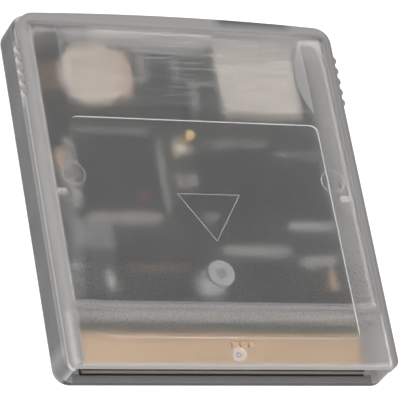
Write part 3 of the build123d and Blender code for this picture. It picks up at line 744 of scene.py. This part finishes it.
@dataclass
class Case:
    """The two shells, their screw and the moulded marks of the front face."""

    front: FrostedShell = FrostedShell(
        name="frosted_front",
        clear_tint=(0.92, 0.91, 0.905),
        milky_tint=(0.31, 0.302, 0.298),
        dark_tint=(0.62, 0.61, 0.605),
        clear=0.976,
        milky_clear=0.3,
        milky_height=(6.4 * MM, 6.3 * MM),
        dark_height=(6.2 * MM, 6.35 * MM),
        roughness=(0.38, 0.46),
        thin=Patch((0.0, -2.3), (27.3, 31.9), soft=1.0),
        shaded=(
            # Painted shade on the rim on the right and at the grip end
            Patch((-10.0, -10.0), (38.0, 42.6), soft=1.2, share=0.42, inverted=True),
            # Painted shade over the card slot behind the rim
            Patch((14.0, 31.8), (7.8, 2.3), soft=2.1, share=0.9),
        ),
        thick=(
            # Screw boss
            Patch((-0.3, -16.05), radius=2.45, hole=1.1, hole_share=0.55, share=0.42),
            # Cross rib: its far edge, its body, its near edge and the haze on that side
            Patch((0.0, -21.35), (26.7, 0.25), share=0.33),
            Patch((0.0, -22.0), (26.9, 0.6), share=0.28),
            Patch((0.0, -22.7), (27.3, 0.3), share=0.34),
            Patch((0.0, -24.3), (27.0, 1.4), soft=1.0, share=0.03),
            # Haze on the label field: near left and middle
            Patch((-22.0, -16.0), (5.0, 5.5), soft=3.0, share=0.03),
            Patch((-3.7, 1.2), radius=3.4, soft=2.8, share=0.03),
            # Grip end, scoop and left margin
            Patch((2.0, 28.0), (24.0, 3.2), soft=2.2, share=0.1),
            Patch((0.0, 21.1), (21.8, 7.0), soft=0.8, share=0.02),
            Patch((-24.8, -7.0), (2.2, 11.0), soft=1.8, share=0.08),
            # Dimple of the gate
            Patch((0.0, -30.5), radius=1.2, hole=0.5, share=0.5),
        ),
        # Smooth spot behind the gate
        polished=(Patch((1.0, -28.7), (2.4, 0.9)),),
        # Rings of the two ejector pins, drawn as painted highlight lines
        scribed=(
            Patch((-23.1, 1.3), radius=2.1, hole=1.98, hole_share=0.0, soft=0.06, share=0.4),
            Patch((23.1, 1.3), radius=2.1, hole=1.98, hole_share=0.0, soft=0.06, share=0.6),
        ),
        # Label field, and the part of it near the rib
        coarse=(
            Patch((0.0, -5.0), (27.0, 18.0), soft=2.0, share=0.35),
            Patch((0.0, -19.5), (27.0, 7.5), soft=2.0),
        ),
        # Scoop
        brushed=(Patch((0.0, 21.1), (22.0, 7.2)),),
        # Painted light in the screw boss, for light that shows through its well
        pale=(Patch((-0.3, -16.05), radius=3.2),),
    )
    rear: FrostedShell = FrostedShell(
        name="frosted_rear",
        # The rear's clear tint is darker than the front's, partly as painted shade over the floor seen
        # through the mouth, and its dark tint on the low outer walls is partly painted shade.
        clear_tint=(0.30, 0.295, 0.29),
        milky_tint=(0.62, 0.605, 0.60),
        dark_tint=(0.076, 0.074, 0.073),
        clear=0.6,
        milky_clear=0.15,
        milky_height=(4.8 * MM, 5.2 * MM),
        dark_height=(5.25 * MM, 5.85 * MM),
        roughness=(0.38, 0.46),
        thin=EVERYWHERE,
        dark_inside=Patch((0.0, -2.0), (28.3, 33.8), soft=0.8),
        shaded=(
            # Painted shade on the lip of the mouth and painted shadow on the floor under the contacts
            Patch((0.0, -32.0), (26.5, 1.2), share=0.68),
            Patch((0.0, -26.8), (25.2, 4.7)),
            # Painted shade in the corners beside the mouth
            Patch((-27.2, -31.0), radius=2.6, soft=1.2, share=0.38),
            Patch((27.2, -31.0), radius=2.2, soft=1.2, share=0.25),
            # Painted shade on the side walls
            Patch((-26.2, 0.0), (2.5, 29.0), soft=0.4, share=0.3),
            Patch((27.45, 3.5), (1.3, 26.0), soft=0.1, share=0.12),
            # Painted shade in the corner at the grip end, by the cell
            Patch((-22.0, 28.6), (8.0, 3.0), soft=2.0, share=0.55),
        ),
        # Painted light on the left corner beside the mouth and on the ledge beside the left grip ridges
        pale=(
            Patch((-29.0, -31.0), radius=4.0, soft=2.5, share=0.58),
            Patch((-28.4, 20.6), (0.55, 6.0), soft=0.08, share=0.7),
        ),
        # Painted shade on the low edge that faces the mouth
        edge_shade=1.0,
    )
    screw: Plating = Plating("screw_zinc", (0.55, 0.55, 0.56), (0.40, 0.40, 0.42), (0.3, 0.45))
    mark: Moulding = Moulding("mark_plastic", (0.26, 0.257, 0.255), (0.31, 0.307, 0.305), (0.45, 0.6))
    # Near-white finish of the bay fillets: a painted highlight on the bay's upper inner edges
    fillet_highlight: Moulding = Moulding("fillet_painted_highlight", (0.86, 0.855, 0.85), (0.92, 0.915, 0.91), (0.4, 0.5))
    # Triangle on the label field: the floor's height, the middle, the size, and the line's radius.
    label_floor: float = 7.65 * MM
    mark_centre: Pair = (0.0, -6.0 * MM)
    mark_width: float = 11.0 * MM
    mark_height: float = 8.5 * MM
    mark_line: float = 0.06 * MM
    mark_sides: int = 9
    # Fillets of the contact bay, near white as a painted highlight on its upper inner edges: the run in Y,
    # and the place in X, on both sides, and Z.
    fillet_radius: float = 0.2 * MM
    fillet_run: Pair = (-32.2 * MM, -22.75 * MM)
    fillet_place: Pair = (27.35 * MM, 6.4 * MM)
    fillet_sides: int = 12
    # Gate: its place, the height of its dimple's floor, and the nub's radius and height.
    gate: Pair = (0.0, -30.5 * MM)
    gate_floor: float = 7.75 * MM
    gate_nub: Pair = (0.45 * MM, 0.2 * MM)
    gate_rings: int = 7

    def insertion_mark(self, finish: Material) -> None:
        """Raised outline of a triangle that points to the contacts.

        A half-round line runs along the triangle's edges: rows follow the outline, and columns go round
        the line's section, whose offset is measured along the mitre of each corner.

        Args:
            finish: Material of the line.
        """
        half, tall = self.mark_width / 2, self.mark_height / 2
        corners = np.array([(-half, tall), (0.0, -tall), (half, tall)])
        edges = np.roll(corners, -1, axis=0) - corners
        normals = np.stack([edges[:, 1], -edges[:, 0]], axis=-1)
        normals /= np.linalg.norm(normals, axis=-1, keepdims=True)
        mitre = normals + np.roll(normals, 1, axis=0)
        mitre /= np.sum(mitre * normals, axis=-1, keepdims=True)
        angle = np.linspace(0.0, np.pi, self.mark_sides)
        offset = self.mark_line * np.cos(angle)
        rise = self.mark_line * np.sin(angle)
        flat = corners[:, None, :] + mitre[:, None, :] * offset[None, :, None]
        flat = flat + np.array(self.mark_centre)
        heights = np.broadcast_to(self.label_floor + rise, flat.shape[:2])
        grid = np.concatenate([flat, heights[..., None]], axis=-1)
        carry(mesh_from_grids("insertion_mark", grid[None], (True, True), finish))

    def bay_fillets(self, finish: Material) -> None:
        """Round fillets along the two upper inner corners of the contact bay, near white as a painted
        highlight on those edges.

        Rows run along Y, and columns go round a circle about the corner line. The first and the last row
        shrink to a point.

        Args:
            finish: Material of the fillets.
        """
        angle = np.linspace(0.0, 2.0 * np.pi, self.fillet_sides, endpoint=False)
        reach = self.fillet_radius * np.array([0.0, 1.0, 1.0, 0.0])[:, None]
        run = np.broadcast_to(np.repeat(self.fillet_run, 2)[:, None], (len(reach), angle.size))
        side, height = self.fillet_place
        section = np.stack([reach * np.cos(angle), run, height + reach * np.sin(angle)], axis=-1)
        grids = np.stack([section - (side, 0.0, 0.0), section + (side, 0.0, 0.0)])
        carry(mesh_from_grids("bay_fillets", grids, (False, True), finish))

    def gate_vestige(self, finish: Material) -> None:
        """Nub that is left where the plastic entered the mould.

        A turned surface whose height falls with the square of the radius.

        Args:
            finish: Material of the nub.
        """
        radius, tall = self.gate_nub
        run = np.linspace(0.0, 1.0, self.gate_rings)
        dome = np.stack([radius * run, tall * (1.0 - run**2)], axis=-1)
        profile = np.concatenate([dome, [(0.0, 0.0)]])
        centre = np.array([[*self.gate, self.gate_floor]])
        carry(mesh_from_grids("gate_nub", turned(profile, centre), (False, True), finish))

    def build(self) -> None:
        """Dresses the shells and the screw and adds the marks."""
        dress(["front_shell"], self.front.material())
        dress(["rear_shell"], self.rear.material())
        dress(["housing_screw"], self.screw.material())
        mark = self.mark.material()
        self.insertion_mark(mark)
        self.gate_vestige(mark)
        self.bay_fillets(self.fillet_highlight.material())


@dataclass
class Board:
    """The circuit board and its plated areas."""

    resist: BoardResist = BoardResist(
        "board_resist", (0.018, 0.022, 0.02), (0.03, 0.036, 0.03), (0.20, 0.165, 0.13)
    )
    gold: Plating = Plating(
        "contact_gold", (0.93, 0.665, 0.437), (0.835, 0.58, 0.37), (0.42, 0.52), Brush.ALONG_Y,
        cover=Patch((0.0, -24.1), (27.0, 0.6)),
    )
    brass: Plating = Plating("pin_brass", (0.95, 0.70, 0.34), (0.90, 0.64, 0.30), (0.45, 0.55))
    pad: Plating = Plating("pad_tin", (0.60, 0.54, 0.48), (0.53, 0.47, 0.41), (0.45, 0.55))
    # Section of the solder round the pin: radius and height.
    solder_ring: tuple[Pair, ...] = (
        (0.85 * MM, 0.0), (1.68 * MM, 0.0), (1.62 * MM, 0.2 * MM), (1.45 * MM, 0.38 * MM),
        (1.2 * MM, 0.5 * MM), (1.0 * MM, 0.7 * MM), (0.85 * MM, 0.85 * MM),
    )

    def pin_solder(self, finish: Material) -> None:
        """Solder round the foot of the locating pin, as a turned ring whose section is a closed outline.

        Args:
            finish: Material of the solder.
        """
        low, high = (np.array(corner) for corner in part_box("locating_pin"))
        middle = (low + high) / 2
        middle[2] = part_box("pin_pad")[1][2]
        grids = turned(np.array(self.solder_ring), middle[None])
        carry(mesh_from_grids("pin_solder", grids, (True, True), finish))

    def build(self) -> None:
        """Dresses the board, its plating and the locating pin."""
        dress(["circuit_board"], self.resist.material())
        dress(["edge_contacts", "card_socket_contacts"], self.gold.material())
        pad = self.pad.material()
        dress(["pin_pad"], pad)
        self.pin_solder(pad)
        dress(["locating_pin"], self.brass.material())


@dataclass
class PowerCell:
    """The coin cell between its contacts."""

    can: Plating = Plating(
        "cell_nickel", (0.75, 0.655, 0.58), (0.69, 0.60, 0.525), (0.42, 0.55), Brush.ALONG_X
    )
    clip: Plating = Plating("cell_clip", (0.26, 0.175, 0.115), (0.21, 0.14, 0.09), (0.4, 0.55))
    spring: Plating = Plating("cell_spring", (0.74, 0.58, 0.46), (0.68, 0.52, 0.41), (0.4, 0.55))

    def build(self) -> None:
        """Dresses the cell and its contacts."""
        dress(["coin_cell"], self.can.material())
        dress(["cell_base_contact"], self.clip.material())
        dress(["cell_retainer"], self.spring.material())


@dataclass
class CardSocket:
    """The memory-card socket's moulding and sheet cover."""

    base: Moulding = Moulding("socket_cream", (0.66, 0.62, 0.54), (0.72, 0.68, 0.6), (0.5, 0.6))
    sheet: Plating = Plating(
        "socket_sheet", (0.78, 0.72, 0.66), (0.72, 0.66, 0.60), (0.45, 0.6), Brush.ALONG_X
    )

    def build(self) -> None:
        """Dresses the moulding and the cover."""
        dress(["card_socket_base"], self.base.material())
        dress(["card_socket_shield"], self.sheet.material())


class Edge(Enum):
    """Side of a chip, as the direction in X and Y that its leads point in."""

    NORTH = (0.0, 1.0)
    SOUTH = (0.0, -1.0)
    EAST = (1.0, 0.0)
    WEST = (-1.0, 0.0)


@dataclass(frozen=True)
class LeadTips:
    """Tips of a chip's leads: places in X and Y, outward directions, width, and heights of the foot."""

    places: np.ndarray
    outward: np.ndarray
    width: float
    low: float
    high: float


@dataclass(frozen=True)
class LeadRows:
    """Rows of equal leads on the sides of one chip."""

    node: str
    count: int
    pitch: float
    edges: tuple[Edge, ...] = (Edge.NORTH, Edge.SOUTH)
    width_share: float = 0.45
    sheet: float = 0.15 * MM

    def tips(self) -> LeadTips:
        """Finds the tips of the leads from the box of their node.

        The tips stand on the box's sides, spread evenly by the pitch about the middle of each side.

        Returns:
            The tips.
        """
        low, high = (np.array(corner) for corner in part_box(self.node))
        middle = (low[:2] + high[:2]) / 2
        half = (high[:2] - low[:2]) / 2
        steps = (np.arange(self.count) - (self.count - 1) / 2) * self.pitch
        outward = np.repeat([edge.value for edge in self.edges], self.count, axis=0)
        spread = np.tile(steps, len(self.edges))[:, None] * np.abs(outward[:, ::-1])
        places = middle + outward * half + spread
        return LeadTips(places, outward, self.pitch * self.width_share, low[2], low[2] + self.sheet)


@dataclass
class Packages:
    """The chips and the small parts on the board."""

    epoxy: Moulding = Moulding("chip_epoxy", (0.021, 0.021, 0.023), (0.028, 0.028, 0.031), (0.5, 0.65), 0.3)
    tin: Plating = Plating("lead_tin", (0.84, 0.82, 0.80), (0.74, 0.71, 0.68), (0.5, 0.65))
    dull_tin: Plating = Plating("lead_dull", (0.36, 0.27, 0.22), (0.30, 0.22, 0.18), (0.45, 0.6))
    dull: tuple[str, ...] = ("bus_buffer_leads",)
    can: Plating = Plating("part_can", (0.30, 0.30, 0.30), (0.22, 0.22, 0.22), (0.45, 0.6))
    tantalum: Moulding = Moulding("tantalum_mould", (0.40, 0.26, 0.175), (0.46, 0.31, 0.205), (0.45, 0.6))
    ceramic: Moulding = Moulding("ceramic_body", (0.24, 0.225, 0.21), (0.28, 0.26, 0.245), (0.5, 0.65))
    resistor: Moulding = Moulding("resistor_glaze", (0.03, 0.03, 0.034), (0.05, 0.05, 0.055), (0.25, 0.4))
    dot_ink: Moulding = Moulding("dot_ink", (0.30, 0.30, 0.30), (0.36, 0.36, 0.36), (0.6, 0.7))
    test_ink: Moulding = Moulding("test_ink", (0.27, 0.045, 0.04), (0.32, 0.06, 0.05), (0.5, 0.6))
    lead_rows: tuple[LeadRows, ...] = (
        LeadRows("logic_chip_leads", 16, 0.8 * MM, tuple(Edge)),
        LeadRows("memory_chip_leads", 24, 0.5 * MM),
        LeadRows("work_memory_leads", 16, 0.5 * MM),
        LeadRows("bus_buffer_leads", 24, 0.5 * MM),
        LeadRows("line_buffer_leads", 10, 0.65 * MM),
        LeadRows("clock_chip_leads", 4, 1.27 * MM, (Edge.EAST, Edge.WEST)),
    )
    dotted: tuple[str, ...] = ("logic_chip", "memory_chip", "work_memory_chip", "bus_buffer_chip")
    chips: tuple[str, ...] = (
        "logic_chip", "memory_chip", "work_memory_chip", "bus_buffer_chip", "line_buffer_chip",
        "clock_chip", "voltage_regulator",
    )
    # Solder at the leads: its reach before and behind the tip, and its width over the lead's.
    toe_length: float = 0.5 * MM
    toe_overlap: float = 0.05 * MM
    toe_spread: float = 1.25
    toe_rows: int = 6
    toe_sides: int = 12
    # Ink dots: their section as shares of the radius and the height, and their sizes and places.
    dot_section: tuple[Pair, ...] = ((0.0, 1.0), (0.9, 1.0), (1.0, 0.5), (0.9, 0.0), (0.0, 0.0))
    dot_radius: float = 0.35 * MM
    dot_height: float = 0.02 * MM
    dot_inset: float = 1.3 * MM
    ink_place: Pair = (-10.0 * MM, -0.8 * MM)
    ink_radius: float = 0.6 * MM

    def toes(self, rows: LeadRows, finish: Material) -> None:
        """Solder at the tip of each lead of a chip.

        The surface runs from the lead's tip to the edge of its pad. Its height falls with the square of
        the run, and its section is a half ellipse on a flat base. Both ends shrink to a point.

        Args:
            rows: Leads that get the solder.
            finish: Material of the solder.
        """
        run = np.concatenate([[0.0], np.linspace(0.0, 1.0, self.toe_rows), [1.0]])
        grow = np.array([0.0, *np.ones(self.toe_rows), 0.0])
        angle = np.linspace(0.0, 2.0 * np.pi, self.toe_sides, endpoint=False)
        tips = rows.tips()
        along = run * (self.toe_length + self.toe_overlap) - self.toe_overlap
        side = np.stack([-tips.outward[:, 1], tips.outward[:, 0]], axis=-1)
        swing = grow[:, None] * (tips.width * self.toe_spread / 2) * np.cos(angle)
        fall = grow[:, None] * (tips.high - tips.low) * (1.0 - run[:, None]) ** 2
        rise = fall * np.clip(np.sin(angle), 0.0, None)
        flat = (
            tips.places[:, None, None, :]
            + tips.outward[:, None, None, :] * along[None, :, None, None]
            + side[:, None, None, :] * swing[None, :, :, None]
        )
        heights = np.broadcast_to(tips.low + rise, flat.shape[:3])
        grids = np.concatenate([flat, heights[..., None]], axis=-1)
        carry(mesh_from_grids(rows.node + "_solder", grids, (False, True), finish))

    def dots(self, name: str, centres: np.ndarray, radius: float, finish: Material) -> None:
        """Flat ink dots with a bevelled edge, as turned surfaces that close on their axis.

        Args:
            name: Name of the piece.
            centres: Array of the dots' XYZ centres.
            radius: Radius of the dots.
            finish: Material of the ink.
        """
        profile = np.array(self.dot_section) * (radius, self.dot_height)
        carry(mesh_from_grids(name, turned(profile, centres), (False, True), finish))

    def build(self) -> None:
        """Dresses the chips and the small parts and adds the solder and the ink."""
        dress(self.chips, self.epoxy.material())
        tin, dull_tin = self.tin.material(), self.dull_tin.material()
        dress([rows.node for rows in self.lead_rows], tin)
        dress(["regulator_leads"], tin)
        dress(self.dull, dull_tin)
        for rows in self.lead_rows:
            self.toes(rows, dull_tin if rows.node in self.dull else tin)
        tops = [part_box(chip) for chip in self.dotted]
        corners = [(low[0] + self.dot_inset, high[1] - self.dot_inset, high[2]) for low, high in tops]
        self.dots("first_lead_dots", np.array(corners), self.dot_radius, self.dot_ink.material())
        ink = np.array([[*self.ink_place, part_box("logic_chip")[1][2]]])
        self.dots("test_dot", ink, self.ink_radius, self.test_ink.material())
        dress(["oscillator", "clock_crystal"], self.can.material())
        dress(["tantalum_capacitors"], self.tantalum.material())
        dress(["ceramic_capacitors"], self.ceramic.material())
        dress(["resistors"], self.resistor.material())


@dataclass(frozen=True)
class Lamp:
    """A square soft lamp that looks at the cartridge."""

    name: str
    place: Point
    size: float
    power: float

    def build(self) -> None:
        """Adds the lamp, turned to the origin."""
        data = bpy.data.lights.new(self.name, "AREA")
        data.size = self.size
        data.energy = self.power
        lamp = bpy.data.objects.new(self.name, data)
        bpy.context.scene.collection.objects.link(lamp)
        back = np.array(self.place) / np.linalg.norm(self.place)
        right = np.cross((0.0, 1.0, 0.0), back)
        right /= np.linalg.norm(right)
        turn = np.stack([right, np.cross(back, right), back], axis=1)
        lamp.matrix_world = Matrix.Translation(self.place) @ Matrix(turn.tolist()).to_4x4()


@dataclass
class Studio:
    """Floor, light and camera."""

    floor_half: float = 0.6
    floor_drop: float = 0.05 * MM
    floor_colour: Colour = (0.80, 0.80, 0.80)
    floor_roughness: float = 0.9
    # Glow of the floor in direct view, in mirrors and through see-through walls.
    floor_lift: float = 0.25
    sky_strength: float = 0.55
    lens: float = 270.0
    clip_start: float = 10.0 * MM
    # Place and axes of the camera.
    eye: Point = (-198.438 * MM, -213.536 * MM, 399.743 * MM)
    eye_right: Point = (0.91427, -0.16578, 0.36964)
    eye_down: Point = (0.02648, -0.88603, -0.46288)
    eye_forward: Point = (0.40424, 0.43298, -0.80568)
    lamps: tuple[Lamp, ...] = (Lamp("key_lamp", (-0.18, -0.22, 0.68), 0.4, 6.3),)

    def seen_directly(self, tree: bpy.types.NodeTree) -> Socket:
        """Factor that is 1 for rays from the camera, mirrors and see-through walls.

        Args:
            tree: Node tree that the factor is used in.

        Returns:
            The factor's socket.
        """
        path = tree.nodes.new("ShaderNodeLightPath")
        total = path.outputs["Is Camera Ray"]
        for name in ("Is Glossy Ray", "Is Transmission Ray"):
            larger = tree.nodes.new("ShaderNodeMath")
            larger.operation = "MAXIMUM"
            tree.links.new(total, larger.inputs[0])
            tree.links.new(path.outputs[name], larger.inputs[1])
            total = larger.outputs["Value"]
        return total

    def build_floor(self) -> None:
        """Adds a pale plain floor that keeps the cartridge's shadow."""
        span = np.array([-self.floor_half, self.floor_half])
        across, along = np.meshgrid(span, span, indexing="ij")
        points = np.stack([across, along, np.full_like(across, -self.floor_drop)], axis=-1)
        sheet = ShaderSheet("pale_floor")
        sheet.set(
            Base_Color=self.floor_colour,
            Roughness=self.floor_roughness,
            Emission_Color=WHITE,
            Emission_Strength=sheet.math("MULTIPLY", self.seen_directly(sheet.tree), self.floor_lift),
        )
        mesh_from_grids("floor", points[None], (False, False), sheet.material)

    def build_light(self) -> None:
        """Adds an even sky and the soft lamps."""
        world = bpy.data.worlds.new("even_sky")
        world.use_nodes = True
        tree = world.node_tree
        sky = tree.nodes["Background"]
        sky.inputs["Color"].default_value = (*WHITE, 1.0)
        # The sky is white to the camera and weaker as a light.
        share = tree.nodes.new("ShaderNodeMapRange")
        share.inputs[3].default_value = self.sky_strength
        share.inputs[4].default_value = 1.0
        path = tree.nodes.new("ShaderNodeLightPath")
        tree.links.new(path.outputs["Is Camera Ray"], share.inputs[0])
        tree.links.new(share.outputs[0], sky.inputs["Strength"])
        bpy.context.scene.world = world
        for lamp in self.lamps:
            lamp.build()

    def build_camera(self) -> None:
        """Adds the camera at the photograph's viewing angle."""
        data = bpy.data.cameras.new("camera")
        data.lens = self.lens
        data.clip_start = self.clip_start
        camera = bpy.data.objects.new("camera", data)
        bpy.context.scene.collection.objects.link(camera)
        right, down, forward = (
            np.array(axis) for axis in (self.eye_right, self.eye_down, self.eye_forward)
        )
        turn = Matrix(np.stack([right, -down, -forward], axis=1).tolist())
        camera.matrix_world = Matrix.Translation(self.eye) @ turn.to_4x4()
        bpy.context.scene.camera = camera

    def build(self) -> None:
        """Adds the floor, the light and the camera."""
        self.build_floor()
        self.build_light()
        self.build_camera()
        bpy.context.scene.view_settings.view_transform = "Standard"


def main() -> None:
    """Builds every sub-assembly in order."""
    for assembly in (Studio(), Case(), Board(), PowerCell(), CardSocket(), Packages()):
        assembly.build()
        log.info("%s done", type(assembly).__name__)


if __name__ == "__main__":
    main()
